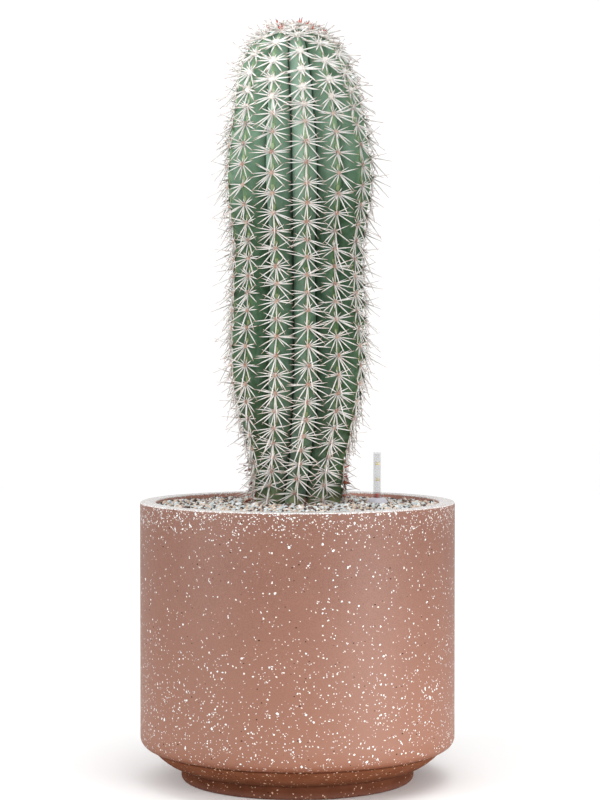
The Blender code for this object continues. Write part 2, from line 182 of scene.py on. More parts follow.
# The camera, fitted to the ellipses of the rim and the foot. It dips a little below level.
CAMERA_PLACE = (0.0028, -2.45, 0.4866)
CAMERA_LENS = 99.126  # mm
CAMERA_DIP = 1.524  # degrees


# Mesh helpers


def arc(centre, radius, first, last, steps):
    """Points of an arc between two angles in degrees, from the outward direction up."""
    angles = np.radians(np.linspace(first, last, steps + 1))
    return [
        (centre[0] + radius * math.cos(angle), centre[1] + radius * math.sin(angle))
        for angle in angles
    ]


def turned(profile, steps, axis=(0, 0)):
    """A shape turned round an upright axis from points of radius and height."""
    shape = bmesh.new()
    corners = [shape.verts.new((axis[0] + radius, axis[1], height)) for radius, height in profile]
    for first, second in zip(corners, corners[1:]):
        shape.edges.new((first, second))
    bmesh.ops.spin(
        shape,
        geom=shape.verts[:] + shape.edges[:],
        cent=(*axis, 0),
        axis=(0, 0, 1),
        angle=FULL_TURN,
        steps=steps,
        use_merge=True,
    )
    bmesh.ops.remove_doubles(shape, verts=shape.verts, dist=0.001 * MM)
    bmesh.ops.recalc_face_normals(shape, faces=shape.faces)
    return shape


def finished_mesh(shape, name, sharp_degrees=35):
    mesh = bpy.data.meshes.new(name)
    shape.to_mesh(mesh)
    shape.free()
    mesh.shade_smooth()
    mesh.set_sharp_from_angle(angle=math.radians(sharp_degrees))
    return mesh


def clipped(value):
    """The value, but at least 0 and at most 1."""
    return min(max(value, 0), 1)


def add_value(mesh, name, values):
    """Gives each point of the mesh a number that its material reads."""
    mesh.attributes.new(name, "FLOAT", "POINT").data.foreach_set("value", values)


def add_piece(mesh, material, body=PLANT):
    """Adds a piece that has its mesh's name."""
    piece = bpy.data.objects.new(mesh.name, mesh)
    bpy.context.scene.collection.objects.link(piece)
    mesh.materials.append(material)
    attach(piece, body)
    return piece


def kept_shape(node, material):
    """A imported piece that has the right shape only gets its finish."""
    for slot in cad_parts[node].material_slots:
        slot.material = material


def pattern_of(shape):
    """The points and triangles of a small shape, which many copies repeat."""
    bmesh.ops.triangulate(shape, faces=shape.faces)
    shape.verts.index_update()
    points = np.array([vertex.co[:] for vertex in shape.verts])
    faces = np.array([[vertex.index for vertex in face.verts] for face in shape.faces])
    shape.free()
    return points, faces


def rough_ball(draw, subdivisions, radius, least):
    """The pattern of a ball whose points are moved in or out, to this share at least."""
    shape = bmesh.new()
    bmesh.ops.create_icosphere(shape, subdivisions=subdivisions, radius=radius)
    for vertex in shape.verts:
        vertex.co *= draw.uniform(least, 1.22)
    bmesh.ops.recalc_face_normals(shape, faces=shape.faces)
    return pattern_of(shape)


def repeated(name, points, faces, values, smooth=True):
    """One mesh of many copies of a pattern. Points has the points of each copy, and each value is
    a number for each of these points, or for each copy."""
    count, corners, _ = points.shape
    starts = np.arange(count)[:, None, None] * corners
    mesh = bpy.data.meshes.new(name)
    mesh.from_pydata(points.reshape(-1, 3), [], (faces[None] + starts).reshape(-1, 3))
    for label, numbers in values.items():
        numbers = np.asarray(numbers, float)
        if numbers.ndim == 1:
            numbers = numbers[:, None]
        add_value(mesh, label, np.broadcast_to(numbers, (count, corners)).ravel())
    if smooth:
        mesh.shade_smooth()
    return mesh


def placed(points, matrices):
    """A pattern's points under each of these matrices."""
    matrices = np.array(matrices)
    turned_points = np.einsum("nij,pj->npi", matrices[:, :3, :3], points)
    return turned_points + matrices[:, None, :3, 3]


# Material helpers

# For these kinds of node, the sockets that a list fills, the output and the settings, where a call
# says no others.
USUAL_NODES = {
    "Attribute": ((), "Fac", {}),
    "Bump": (("Strength", "Distance", "Height"), 0, {}),
    "Mix": ((0, 6, 7), 2, {"data_type": "RGBA"}),
    "TexCoord": ((), "Object", {}),
    "TexNoise": (("Vector", "Scale", "Detail", "Roughness"), 0, {}),
    "TexVoronoi": (("Vector", "Scale"), 0, {}),
}


def colour(code):
    """The linear colour of an sRGB hex value."""
    parts = [int(code[start : start + 2], 16) / 255 for start in (1, 3, 5)]
    parts = [
        part / 12.92 if part <= 0.04045 else ((part + 0.055) / 1.055) ** 2.4 for part in parts
    ]
    return (*parts, 1)


def add_node(tree, kind, inputs=(), output=None, **settings):
    """Adds a node with its settings and gives back one of its outputs. Its inputs are values, hex
    colours or other nodes' outputs, by name or in a list."""
    sockets, usual_output, usual_settings = USUAL_NODES.get(kind, (range(5), 0, {}))
    added = tree.nodes.new(f"ShaderNode{kind}")
    for name, value in {**usual_settings, **settings}.items():
        setattr(added, name, value)
    if not isinstance(inputs, dict):
        inputs = dict(zip(sockets, inputs))
    for socket, value in inputs.items():
        if isinstance(value, bpy.types.NodeSocket):
            tree.links.new(value, added.inputs[socket])
        else:
            value = colour(value) if isinstance(value, str) else value
            added.inputs[socket].default_value = value
    if added.outputs:
        return added.outputs[usual_output if output is None else output]


def made_material(name, looks, *details):
    """A material whose shader has the inputs that this function of its looks gives."""
    material = bpy.data.materials.new(name)
    material.use_nodes = True
    material.node_tree.nodes.clear()
    add = functools.partial(add_node, material.node_tree)
    add("OutputMaterial", [add("BsdfPrincipled", looks(add, *details))])
    return material


def per(size):
    """The scale of a pattern whose grains are this many millimetres across."""
    return 1 / (size * MM)


# The column's form


def smooth_line(points):
    """Close points of a smooth line through these ones."""
    points = np.array(points, float)
    part = (np.arange(200) / 200)[:, None]
    pieces = []
    for index in range(len(points) - 1):
        before = points[max(index - 1, 0)]
        start, end = points[index : index + 2]
        after = points[min(index + 2, len(points) - 1)]
        pieces.append(
            start * (2 * part**3 - 3 * part**2 + 1)
            + (end - before) / 2 * (part**3 - 2 * part**2 + part)
            + end * (3 * part**2 - 2 * part**3)
            + (after - start) / 2 * (part**3 - part**2)
        )
    return np.vstack(pieces + [points[-1:]])


def outline():
    """The outline over the crests, as arrays of radius, height and growth. Growth is 0 at the
    front rib's lowest areole and rises by 1 in half an areole's spacing."""
    radius, above_rim = (smooth_line(STEM_OUTLINE) * MM).T
    lengths = np.hypot(np.diff(radius), np.diff(above_rim))
    spacings = np.interp((above_rim[1:] + above_rim[:-1]) / 2, *AREOLE_SPACING)
    growth = np.concatenate([[0], np.cumsum(2 * lengths / spacings)])
    growth -= np.interp(LOWEST_AREOLE, above_rim, growth)
    return radius, above_rim + POT_HEIGHT, growth


def turns():
    """The heights, the column's lean at each, and the angles there of the crests from the rib on
    the far left of the front round to the same rib again."""
    table = smooth_line(COLUMN_TURNS)
    front = np.radians(table[:, 2:])
    share = np.linspace(0, 1, RIBS - 3)[None, 1:]
    behind = front[:, -1:] + (front[:, :1] + FULL_TURN - front[:, -1:]) * share
    return table[:, 0] * MM + POT_HEIGHT, table[:, 1] * MM, np.hstack([front, behind])


OUTLINE_RADIUS, OUTLINE_HEIGHT, OUTLINE_GROWTH = outline()
TURN_HEIGHT, LEAN, CRESTS = turns()


def outline_at(growth):
    """The outline's radius and height there."""
    radius = np.interp(growth, OUTLINE_GROWTH, OUTLINE_RADIUS)
    return radius, np.interp(growth, OUTLINE_GROWTH, OUTLINE_HEIGHT)


def turn_at(place, height):
    """The angle from the viewer's direction of a place on the column, counted in ribs from the
    front one, at this height."""
    place, height = np.broadcast_arrays(np.asarray(place, float) - FIRST_RIB, height)
    rows = np.interp(height, TURN_HEIGHT, np.arange(len(TURN_HEIGHT))).astype(int)
    rib = np.floor(place).astype(int)
    before = CRESTS[rows, rib % RIBS] + rib // RIBS * FULL_TURN
    after = CRESTS[rows, rib % RIBS + 1] + rib // RIBS * FULL_TURN
    return before + (after - before) * (place - rib)


def on_column(place, radius, height):
    """The point at a place that is counted in ribs from the front one to the viewer's right."""
    turn = turn_at(place, height)
    x = np.interp(height, TURN_HEIGHT, LEAN) + radius * np.sin(turn)
    y = STEM_AXIS[1] - radius * np.cos(turn)
    return np.stack(np.broadcast_arrays(x, y, height), -1)


def rib_section(across):
    """How deep the skin lies under the crest, as a share of the valley's depth, from the crest at
    0 to the valley at 1, where the flanks meet in a narrow crease."""
    blunt = math.sqrt(CREST_BLUNTNESS)
    softened = np.sqrt(across**2 + CREST_BLUNTNESS) - blunt
    softened = softened / (math.sqrt(1 + CREST_BLUNTNESS) - blunt)
    return 0.56 * softened + 0.24 * across**1.7 + 0.2 * across**9


def rows_to_areole(rib, growth):
    """How far up the rib the nearest areole is passed, in half spacings from -1 to 1, 0 on it."""
    return (growth - rib + 1) % 2 - 1


def wax_and_light_of_flanks():
    """How thick the wax lies on the left and right flank of each rib. The front rib's left flank
    has the most. The wax also paints light and shade: it is thick on the front flanks that face
    the left, as if lit, and missing on the right ribs, which stay dark as if shaded."""
    wax_and_painted_light = np.random.default_rng(SEED).uniform(0, 0.3, 2 * RIBS)
    for rib, left, right in ((-2, 0.3, 0.1), (-1, 1, 0.5), (0, 0.9, 0.6), (1, 0.35, 0), (2, 0, 0)):
        wax_and_painted_light[2 * rib] = left
        wax_and_painted_light[2 * rib + 1] = right
    return wax_and_painted_light


WAX_AND_LIGHT_OF_FLANKS = wax_and_light_of_flanks()


def areole_step(growth):
    """The distance between two areoles of a rib."""
    _, height = outline_at(growth)
    return np.interp(height - POT_HEIGHT, *AREOLE_SPACING)


def skin_points(corner, radius, height, growth):
    """Where the skin's points lie, with three numbers for each: how far it is from crest to
    valley, how far above the nearest areole in mm, and how much wax its flank has, which also
    paints the flank's light and shade."""
    rib, part = np.divmod(corner, CORNERS_PER_RIB)
    rib = rib + FIRST_RIB
    offset = part / CORNERS_PER_RIB - 0.5
    across = 2 * np.abs(offset)
    closing = np.clip(radius / (26 * MM), 0, 1)
    # The newest growth closes over the apex with wider, flatter ribs.
    depth = VALLEY_DEPTH * closing * (2 - closing)
    along = rows_to_areole(rib, growth) * areole_step(growth) / 2
    sideways = offset * RIB_PITCH * radius
    above_areole = along - 4.5 * MM
    cushion = np.exp(-(along**2 + sideways**2) / (2 * (3.4 * MM) ** 2))
    notch = np.exp(-(above_areole**2 / (2 * (1.8 * MM) ** 2) + sideways**2 / (2 * (3 * MM) ** 2)))
    mature = np.clip((radius - 20 * MM) / (20 * MM), 0, 1)
    lift = (1.3 * cushion - 1.3 * notch) * MM * mature
    surface = radius * (1 - depth * rib_section(across)) + lift
    points = on_column(rib + offset, surface, height)
    wax_and_painted_light = WAX_AND_LIGHT_OF_FLANKS[2 * rib + (offset > 0)] * np.clip(across / 0.3, 0, 1)
    return points, across, along / MM, wax_and_painted_light


def areole_at(rib, growth):
    """An areole's place, its directions outward, up the rib and sideways, and the column's
    radius there."""
    radius, height = outline_at(growth)
    below = outline_at(growth - 0.5)
    above = outline_at(growth + 0.5)
    place = Vector(on_column(rib, radius, height))
    upward = Vector(on_column(rib, *above) - on_column(rib, *below)).normalized()
    turn = float(turn_at(rib, height))
    sideways = Vector((math.cos(turn), math.sin(turn), 0))
    outward = sideways.cross(upward).normalized()
    return place + outward * 0.7 * MM, outward, upward, sideways, radius


def areoles():
    """All the areoles above the gravel."""
    last = np.interp(-NEWEST_AREOLE, -OUTLINE_RADIUS, OUTLINE_GROWTH)
    return [
        areole_at(rib, growth)
        for rib in range(FIRST_RIB, FIRST_RIB + RIBS)
        for growth in range(-(rib % 2), math.floor(last) + 1, 2)
    ]


# Materials: each function adds the nodes of a pattern, and gives back its shader's inputs


def marble_chips(add, place, share):
    """Angular chips of three sizes, 1 to 3 mm across: how far each point is in a chip, a draw for
    each chip's tone, and the place with its chip edges broken up."""
    shaken = add("TexNoise", [place, per(2.4)], "Color")
    broken = add("VectorMath", [shaken, [CHIP_SHAKE] * 3, place], operation="MULTIPLY_ADD")
    chip = 0
    for size, more in CHIP_SIZES:
        cells = [broken, per(size)]
        draw = add("TexVoronoi", cells, "Color")
        edge = add("TexVoronoi", cells, feature="DISTANCE_TO_EDGE")
        pick, slack, tone = (add("SeparateColor", [draw], part) for part in range(3))
        limit = add("Math", [share, more], operation="MULTIPLY")
        chosen = add("Math", [pick, limit], operation="LESS_THAN")
        # The cement between two chips is wider round some of them.
        margin = add("Math", [slack, 0.15, 0.12], operation="MULTIPLY_ADD")
        inside = add("Math", [edge, margin], operation="SUBTRACT")
        inside = add("MapRange", [inside, 0, 0.05])
        inside = add("Math", [chosen, inside], operation="MULTIPLY")
        chip = add("Math", [chip, inside], operation="MAXIMUM")
    return chip, tone, broken


def open_pits(add, place):
    """Small flat blow holes in the cement, 1 to 2 mm across and some centimetres apart."""
    flat = add("VectorMath", [place, (1, 1, 1.7)], operation="MULTIPLY")
    cells = [flat, per(PIT_SPACING)]
    draw = add("TexVoronoi", cells, "Color")
    reach = add("TexVoronoi", cells)
    pick, size = (add("SeparateColor", [draw], part) for part in (1, 2))
    pit = add("Math", [pick, 1 - PIT_SHARE], operation="GREATER_THAN")
    limit = add("Math", [size, 0.1, 0.15], operation="MULTIPLY_ADD")
    hole = add("Math", [limit, reach], operation="SUBTRACT")
    hole = add("MapRange", [hole, 0, 0.04])
    return add("Math", [pit, hole], operation="MULTIPLY")


def ground_terrazzo(add):
    """Cast cement terrazzo with marble chips, ground matt on the wall: pale angular chips in a
    pinkish-brown cement, crowded under the rim. The rim itself is ground flat and nearly all
    chips, so it looks white and has a soft gloss."""
    place = add("TexCoord")
    height = add("SeparateXYZ", [place], 2)
    near_top = add("MapRange", [height, 275 * MM, 303 * MM, 0.016, 0.108])
    near_foot = add("MapRange", [height, 190 * MM, 80 * MM, 0, 0.028])
    rim = add("MapRange", [height, 307.6 * MM, 308.3 * MM])
    share = add("Math", [near_top, near_foot], operation="ADD")
    share = add("Math", [rim, 0.7, share], operation="MULTIPLY_ADD")
    chip, tone, broken = marble_chips(add, place, share)
    pit = open_pits(add, broken)
    # Painted light: the wall is painted warmer towards the foot, as if lit by warm light from
    # below, and it and its chips are painted rust brown shade where it turns under.
    low_painted_shading = add("MapRange", [height, 240 * MM, 60 * MM, 0, 0.75])
    turning_painted_shade = add("MapRange", [height, 45 * MM, 38 * MM, 0, 0.85])
    clouds = add("TexNoise", [place, per(42), 4, 0.6])
    clouds = add("MapRange", [clouds, 0.35, 0.65])
    # Sand grains are under 0.5 mm, and are drawn about 1 mm across so that they show.
    sand = add("TexNoise", [place, per(1.1), 2, 0.7])
    grains = add("MapRange", [sand, 0.3, 0.7])
    # Painted light: the inside is painted paler, to lift the shade that the wall casts into it.
    from_axis = add("VectorMath", [place, (1, 1, 0)], operation="MULTIPLY")
    from_axis = add("VectorMath", [from_axis], "Value", operation="LENGTH")
    inside = add("Math", [from_axis, POT_INSIDE + 0.5 * MM], operation="LESS_THAN")
    marble = add("Mix", [tone, "#DBEBF2", "#DCD1C6"])
    marble = add("Mix", [rim, marble, "#E8EEF0"])
    marble = add("Mix", [turning_painted_shade, marble, "#A97C60"])
    grain = add("Mix", [grains, "#5F3B2F", "#8B6555"])
    surface = add("Mix", [clouds, "#704B3E", "#775244"])
    layers = [(0.55, grain), (low_painted_shading, "#885E4C"), (turning_painted_shade, "#74422C"), (inside, "#B98473")]
    # The pits are painted near black, as the shade inside them.
    for part, over in layers + [(rim, "#B8A8A0"), (chip, marble), (pit, "#0E0503")]:
        surface = add("Mix", [part, surface, over])
    gloss = add("MapRange", [rim, 0, 1, 0.55, 0.4])
    # The wall is sealed, but the pits are open, so they have no sealer to shine.
    sealed = add("MapRange", [height, 38 * MM, 60 * MM, 0.03, SEALER_SHINE])
    sealed = [pit, -SEALER_SHINE, sealed]
    sealed = add("Math", sealed, operation="MULTIPLY_ADD", use_clamp=True)
    relief = add("Math", [sand, pit], operation="SUBTRACT")
    relief = add("Bump", [0.25, 0.4 * MM, relief])
    finish = {"Base Color": surface, "Roughness": gloss, "Specular IOR Level": sealed, "IOR": 1.5}
    return {**finish, "Normal": relief}


def underside_terrazzo_painted_shade(add):
    """The same cast terrazzo as it left the mould, on the sloping underside and the foot: few
    chips have come through its cement skin. Its matt rust brown is painted shade, warmed as if by
    light bounced up from below."""
    place = add("TexCoord")
    height = add("SeparateXYZ", [place], 2)
    share = add("MapRange", [height, 16 * MM, 36 * MM, 0.016, 0.032])
    chip, tone, broken = marble_chips(add, place, share)
    pit = open_pits(add, broken)
    clouds = add("TexNoise", [place, per(30), 5, 0.65])
    clouds = add("MapRange", [clouds, 0.35, 0.65])
    # Painted shade: the slope is painted darker towards the foot, and the foot darker still,
    # while the foot's lowest edge is painted lighter, as light bounced up from the floor.
    # A dark line of painted shade runs in the crease under the wall's lower edge.
    slope_painted_shade = add("MapRange", [height, 25 * MM, 17 * MM, 0, 0.8])
    foot_edge_painted_light = add("MapRange", [height, 9 * MM, 1 * MM, 0, 0.6])
    low_painted_shading = add("MapRange", [height, 16.5 * MM, 14.5 * MM])
    crease_painted_shade = add("MapRange", [height, 34.2 * MM, 35.4 * MM, 0, 0.75])
    # Painted shade: the chips, the foot and the slope are dark warm browns, as shade warmed by
    # light bounced up from below.
    marble = add("Mix", [tone, "#CDB7A4", "#B07F5E"])
    foot_painted_shade = add("Mix", [clouds, "#4A281A", "#5C3524"])
    foot_painted_shade = add("Mix", [foot_edge_painted_light, foot_painted_shade, "#6E4C42"])
    surface = add("Mix", [clouds, "#633824", "#70442F"])
    layers = [(slope_painted_shade, "#54301F"), (low_painted_shading, foot_painted_shade), (crease_painted_shade, "#3E1F12"), (chip, marble)]
    # The pits are painted dark, as the shade inside them.
    for part, over in layers + [(pit, "#1E0F0A")]:
        surface = add("Mix", [part, surface, over])
    relief = add("Math", [clouds, pit], operation="SUBTRACT")
    relief = add("Bump", [0.3, 0.5 * MM, relief])
    finish = {"Base Color": surface, "Roughness": 0.9, "Specular IOR Level": 0.05, "IOR": 1.5}
    return {**finish, "Normal": relief}


def cactus_skin(add):
    """Living cactus skin under a thin wax bloom: dark blue-green flanks that pale towards the
    young crown, a paler groove over each areole, painted shade in its creases and corky freckles.
    The wax is thickest on the front flanks that face the left and missing on the right ribs, so it
    also paints their light and shade."""
    place = add("TexCoord")
    height = add("SeparateXYZ", [place], 2)
    across, above, flank_wax_and_light = (
        add("Attribute", attribute_name=name) for name in ("across", "above_areole", "wax_and_painted_light")
    )
    clouds = add("TexNoise", [place, per(24), 5, 0.62])
    clouds = add("MapRange", [clouds, 0.33, 0.67])
    # The front of each crest is greener and has less wax than the flanks.
    grown_up, youth, crest, valley_painted_shade = (
        add("MapRange", row, interpolation_type="SMOOTHSTEP")
        for row in (
            [height, 370 * MM, 490 * MM],
            [height, 605 * MM, 750 * MM],
            [across, 0.32, 0.12, 0, 0.45],
            [across, 0.86, 0.98, 0, 0.85],
        )
    )
    # The groove over an areole is a lens from 1 to 12 mm above it, and 4 mm wide.
    middle = add("Math", [above, 1 / 5.5, -6.5 / 5.5], operation="MULTIPLY_ADD")
    narrowing = add("Math", [middle, middle], operation="MULTIPLY")
    half_width = add("Math", [narrowing, -0.13, 0.13], operation="MULTIPLY_ADD")
    inside = add("Math", [half_width, across], operation="SUBTRACT")
    brink = add("MapRange", [inside, -0.07, -0.02, 0, 0.75])
    groove = add("MapRange", [inside, -0.01, 0.04, 0, 0.85])
    wax_and_painted_light = add("TexNoise", [place, per(9), 6, 0.7])
    wax_and_painted_light = add("MapRange", [wax_and_painted_light, 0.42, 0.72, 0.01, 0.15])
    # The flanks' wax is also painted light and shade: thick on the front flanks that face the
    # left, and none on the right ribs.
    bloom_and_painted_light = add("MapRange", [flank_wax_and_light, 0, 1, 0, 0.5])
    rising = add("MapRange", [height, 610 * MM, 720 * MM, 0.38, 1])
    wax_and_painted_light = add("Math", [bloom_and_painted_light, rising, wax_and_painted_light], operation="MULTIPLY_ADD")
    # The skin is corky and pale where it meets the gravel.
    callus = add("MapRange", [height, 326 * MM, 311 * MM, 0, 0.8])
    callus = add("Math", [callus, clouds], operation="MULTIPLY")
    cork = add("TexVoronoi", [place, per(6.7)])
    cork = add("MapRange", [cork, 0.1, 0.04, 0, 0.4])
    skin = add("Mix", [clouds, "#21351A", "#334B29"])
    grown = add("Mix", [clouds, "#29462B", "#3D5C3D"])
    young = add("Mix", [clouds, "#5E8263", "#82A08A"])
    crest_tone = add("Mix", [youth, "#4C6432", "#8AA673"])
    brink_tone = add("Mix", [youth, "#2B311A", "#47603A"])
    groove_tone = add("Mix", [youth, "#788353", "#A6BC92"])
    layers = [(grown_up, grown), (youth, young), (crest, crest_tone), (brink, brink_tone)]
    layers += [(groove, groove_tone), (wax_and_painted_light, "#9FB8AB"), (callus, "#8F976B")]
    # Painted shade: the creases at the bottom of the valleys are near black.
    for part, over in layers + [(valley_painted_shade, "#131F13"), (cork, "#8A7C5A")]:
        skin = add("Mix", [part, skin, over])
    # Its pores are finer than 0.1 mm, and are drawn over 1 mm across so that they show.
    pores = add("TexNoise", [place, per(1.4), 3, 0.6])
    relief = add("Bump", [0.3, 0.5 * MM, pores])
    finish = {"Base Color": skin, "Roughness": 0.5, "Specular IOR Level": 0.18, "IOR": 1.42}
    return {**finish, "Normal": relief}


def spine_horn(add, root, shaft, tip, tip_start):
    """Dry horn of a cactus spine, tanned at its root, pale along the shaft and browned at its
    tip. Like a fingernail it has a soft gloss and lets some light through."""
    along, shade = (add("Attribute", attribute_name=name) for name in ("along", "shade"))
    from_root = add("MapRange", [along, 0, 0.13], interpolation_type="SMOOTHSTEP")
    to_tip = add("MapRange", [along, tip_start, 1], interpolation_type="SMOOTHSTEP")
    fresh = add("MapRange", [shade, 0, -1])
    aged = add("MapRange", [shade, 0.5, 1, 0, 0.35])
    horn = root
    layers = [(from_root, shaft), (fresh, "#F0EEEB"), (to_tip, tip), (aged, "#B69C91")]
    for part, over in layers:
        horn = add("Mix", [part, horn, over])
    finish = {"Base Color": horn, "Roughness": 0.42, "IOR": 1.54, "Subsurface Weight": 0.5}
    glow = {"Subsurface Radius": (1, 0.85, 0.75), "Subsurface Scale": 0.5 * MM}
    return {**finish, **glow}


def areole_felt(add):
    """Matted plant wool of the areoles: clean white where it is new, then cream, and browned and
    worn on the old ones. Fine tufts show as mottling, and it has no gloss."""
    age = add("Attribute", attribute_name="age")
    tufts = add("TexNoise", [add("TexCoord"), per(1.1), 3, 0.7])
    worn = add("Math", [tufts, 0.9, -0.45], operation="MULTIPLY_ADD")
    worn = add("Math", [worn, age], operation="ADD")
    wool = "#E8E4DD"
    for begin, end, over in ((0.12, 0.45, "#CDB7A7"), (0.4, 1.05, "#9A7765")):
        part = add("MapRange", [worn, begin, end])
        wool = add("Mix", [part, wool, over])
    relief = add("Bump", [0.8, 0.6 * MM, tufts])
    finish = {"Base Color": wool, "Roughness": 0.95, "Specular IOR Level": 0.2}
    fuzz = {"Sheen Weight": 0.08, "Sheen Roughness": 0.6, "Normal": relief}
    return {**finish, **fuzz}


def stone(add, pale, deep, fleck, fleck_share, roughness):
    """Broken mineral grain: each grain has its own tone between two colours, with darker or
    paler flecks under half a millimetre, drawn a little coarser than real."""
    place = add("TexCoord")
    shade = add("Attribute", attribute_name="shade")
    mottle = add("TexNoise", [place, per(1.4), 3, 0.6])
    tone = add("Math", [mottle, 0.7, -0.35], operation="MULTIPLY_ADD")
    tone = add("Math", [tone, shade], operation="ADD", use_clamp=True)
    flecks = add("TexVoronoi", [place, per(0.9)])
    flecks = add("MapRange", [flecks, 0.3, 0.15, 0, fleck_share])
    body = add("Mix", [tone, pale, deep])
    body = add("Mix", [flecks, body, fleck])
    relief = add("Bump", [0.7, 0.4 * MM, mottle])
    return {"Base Color": body, "Roughness": roughness, "Normal": relief}


def gravel_fines(add):
    """Sieved mineral fines between the grains: crumbs of 1 to 3 mm, from grey-brown to cream, with
    dark shaded gaps."""
    cells = [add("TexCoord"), per(2.4)]
    pick = add("SeparateColor", [add("TexVoronoi", cells, "Color")])
    reach = add("TexVoronoi", cells, feature="DISTANCE_TO_EDGE")
    crumb = add("Mix", [pick, "#352A24", "#8F8479"])
    whole = add("MapRange", [reach, 0.02, 0.2])
    fines = add("Mix", [whole, "#2E2420", crumb])
    relief = add("Bump", [1, 1.2 * MM, reach])
    return {"Base Color": fines, "Roughness": 0.95, "Normal": relief}


def dry_husk(add):
    """Dead, curled husk at the foot of the stem: papery, dark reddish brown, paler on worn
    edges."""
    shade = add("Attribute", attribute_name="shade")
    fibres = add("TexNoise", [add("TexCoord"), per(1.7), 4, 0.7])
    tone = add("Math", [fibres, 0.8, -0.4], operation="MULTIPLY_ADD")
    tone = add("Math", [tone, shade], operation="ADD", use_clamp=True)
    husk = add("Mix", [tone, "#5A2119", "#A0583F"])
    relief = add("Bump", [0.6, 0.4 * MM, fibres])
    return {"Base Color": husk, "Roughness": 0.7, "Normal": relief}


def moulded_plastic(add, main, second, roughness, see_through=0.0):
    """Injection-moulded plastic: an even colour with a faint cloudiness from the melt and a fine
    satin grain from the mould, which softens its gloss."""
    place = add("TexCoord")
    melt = add("TexNoise", [place, per(6), 2, 0.5])
    body = add("Mix", [melt, main, second])
    grain = add("TexNoise", [place, per(0.7), 1])
    gloss = add("MapRange", [grain, 0, 1, roughness - 0.06, roughness + 0.06])
    relief = add("Bump", [0.04, 0.2 * MM, grain])
    finish = {"Base Color": body, "Roughness": gloss, "IOR": 1.49, "Alpha": 1 - see_through}
    return {**finish, "Normal": relief}


# Planter and gravel


def planter_shell(ground, underside_painted_shade):
    lower_centre = (POT_RADIUS - LOWER_EDGE_RADIUS, LOWER_EDGE_HEIGHT + LOWER_EDGE_RADIUS)
    top = Vector((lower_centre[0], LOWER_EDGE_HEIGHT))
    bottom = Vector((FOOT_TOP_RADIUS, FOOT_TOP_HEIGHT))
    square = Vector((top.y - bottom.y, bottom.x - top.x)).normalized()
    rise = (top.y - bottom.y) / (top.x - bottom.x)
    inner_top = top - square * POT_WALL
    slope_start = inner_top.x - (inner_top.y - POT_FLOOR) / rise
    slope_end = inner_top.y + (POT_INSIDE - inner_top.x) * rise
    rim_inner = (POT_INSIDE + RIM_ROUND, POT_HEIGHT - RIM_ROUND)
    rim_outer = (POT_RADIUS - RIM_ROUND, POT_HEIGHT - RIM_ROUND)
    profile = [(0, POT_FLOOR), (slope_start, POT_FLOOR), (POT_INSIDE, slope_end)]
    profile += arc(rim_inner, RIM_ROUND, 180, 90, 4)
    profile += arc(rim_outer, RIM_ROUND, 90, 0, 4)
    profile += arc(lower_centre, LOWER_EDGE_RADIUS, 0, -90, 10)
    for part in np.linspace(0, 1, 7)[1:]:
        bulge = UNDERSIDE_BULGE * 4 * part * (1 - part)
        profile.append(tuple(top.lerp(bottom, part) + square * bulge))
    profile.append((FOOT_RADIUS, FOOT_TOP_HEIGHT - GAP))
    foot_centre = (FOOT_RADIUS - FOOT_EDGE_RADIUS, FOOT_EDGE_RADIUS)
    profile += arc(foot_centre, FOOT_EDGE_RADIUS, 0, -90, 5)
    profile.append((0, 0))
    shape = turned(profile, POT_STEPS)
    for face in shape.faces:
        middle = face.calc_center_median()
        outside = math.hypot(middle.x, middle.y) > slope_start and face.normal.z < 0.1
        face.material_index = int(middle.z < LOWER_EDGE_HEIGHT and outside or middle.z < 2 * MM)
    mesh = finished_mesh(shape, "planter_shell", 25)
    piece = add_piece(mesh, ground)
    mesh.materials.append(underside_painted_shade)
    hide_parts("planter")


def gravel_height(radius):
    rise = 0.5 + 0.5 * math.cos(math.pi * min(radius / POT_INSIDE, 1))
    return POT_HEIGHT - GRAVEL_BELOW_RIM + GRAVEL_MOUND * rise


def foot_reach():
    """The angles round the column's axis, and how far its skin reaches there, at the gravel."""
    corners = np.arange(RIBS * CORNERS_PER_RIB)
    radius, height = outline_at(np.interp(POT_HEIGHT - 3 * MM, OUTLINE_HEIGHT, OUTLINE_GROWTH))
    points = skin_points(corners, radius, np.full(len(corners), height), 1.0)[0]
    x = points[:, 0] - STEM_AXIS[0]
    y = points[:, 1] - STEM_AXIS[1]
    angles = np.arctan2(y, x)
    order = np.argsort(angles)
    return angles[order], np.hypot(x, y)[order]


